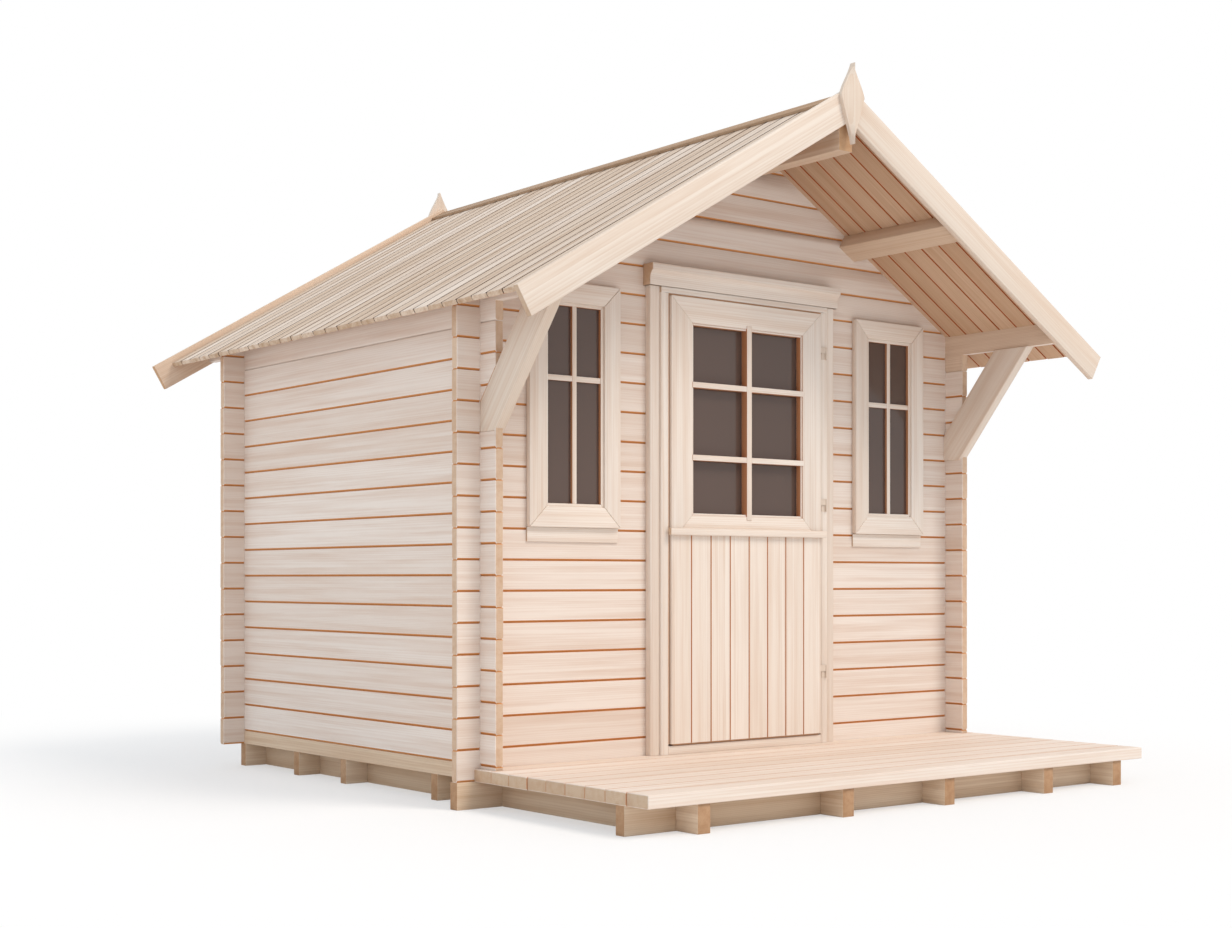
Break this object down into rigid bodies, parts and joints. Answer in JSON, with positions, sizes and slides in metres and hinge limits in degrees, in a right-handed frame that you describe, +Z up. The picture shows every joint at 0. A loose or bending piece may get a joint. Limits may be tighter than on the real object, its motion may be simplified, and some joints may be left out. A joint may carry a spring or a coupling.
{
  "type": "garden shed",
  "caption": "Small timber garden shed of interlocking logs with a gable roof, knee braces, a half glazed door, narrow windows and a front deck.",
  "frame": {"origin": "middle of the footprint's box, on the ground", "axes": "+Z up, front with the door and deck towards -Y, +X to the right seen from the front"},
  "size_m": [3.1, 3.295, 2.8005],
  "materials": {
    "foundation_timber": "rough sawn spruce",
    "floor_board": "planed spruce",
    "deck_board": "planed spruce",
    "wall_log": "planed spruce",
    "roof_timber": "planed spruce",
    "roof_board": "planed spruce",
    "trim_board": "planed spruce",
    "joinery": "planed spruce",
    "pane": "clear float glass",
    "hinge_steel": "zinc plated"
  },
  "bodies": {
    "shed": {"front_bearer": "foundation_timber", "bearers": "foundation_timber", "noggings": "foundation_timber", "deck_joists": "foundation_timber", "deck_cross_beam": "foundation_timber", "floor": "floor_board", "deck": "deck_board", "left_wall": "wall_log", "right_wall": "wall_log", "back_wall": "wall_log", "front_wall_left": "wall_log", "front_wall_right": "wall_log", "front_gable": "wall_log", "back_gable": "wall_log", "left_eave_log": "wall_log", "right_eave_log": "wall_log", "ridge_beam": "roof_timber", "left_purlin": "roof_timber", "right_purlin": "roof_timber", "left_brace": "roof_timber", "right_brace": "roof_timber", "roof_left": "roof_board", "roof_right": "roof_board", "ridge_cap": "roof_board", "front_barge_left": "trim_board", "front_barge_right": "trim_board", "back_barge_left": "trim_board", "back_barge_right": "trim_board", "front_finial": "trim_board", "back_finial": "trim_board", "left_window_casing": "joinery", "right_window_casing": "joinery", "left_window_frame": "joinery", "right_window_frame": "joinery", "door_frame": "joinery", "door_sill": "joinery", "door_casing": "joinery", "left_window_glass": "pane", "right_window_glass": "pane", "hinge_pins": "hinge_steel"},
    "door": {"door_upper_frame": "joinery", "door_lower_panel": "joinery", "door_ledge": "joinery", "door_glass": "pane", "hinge_straps": "hinge_steel"}
  },
  "joints": [
    {"name": "door_hinge", "type": "hinge", "parent": "shed", "child": "door", "pos_m": [0.445, -0.6925, 1], "axis": [0, 0, 1], "range_deg": [0, 120]}
  ]
}
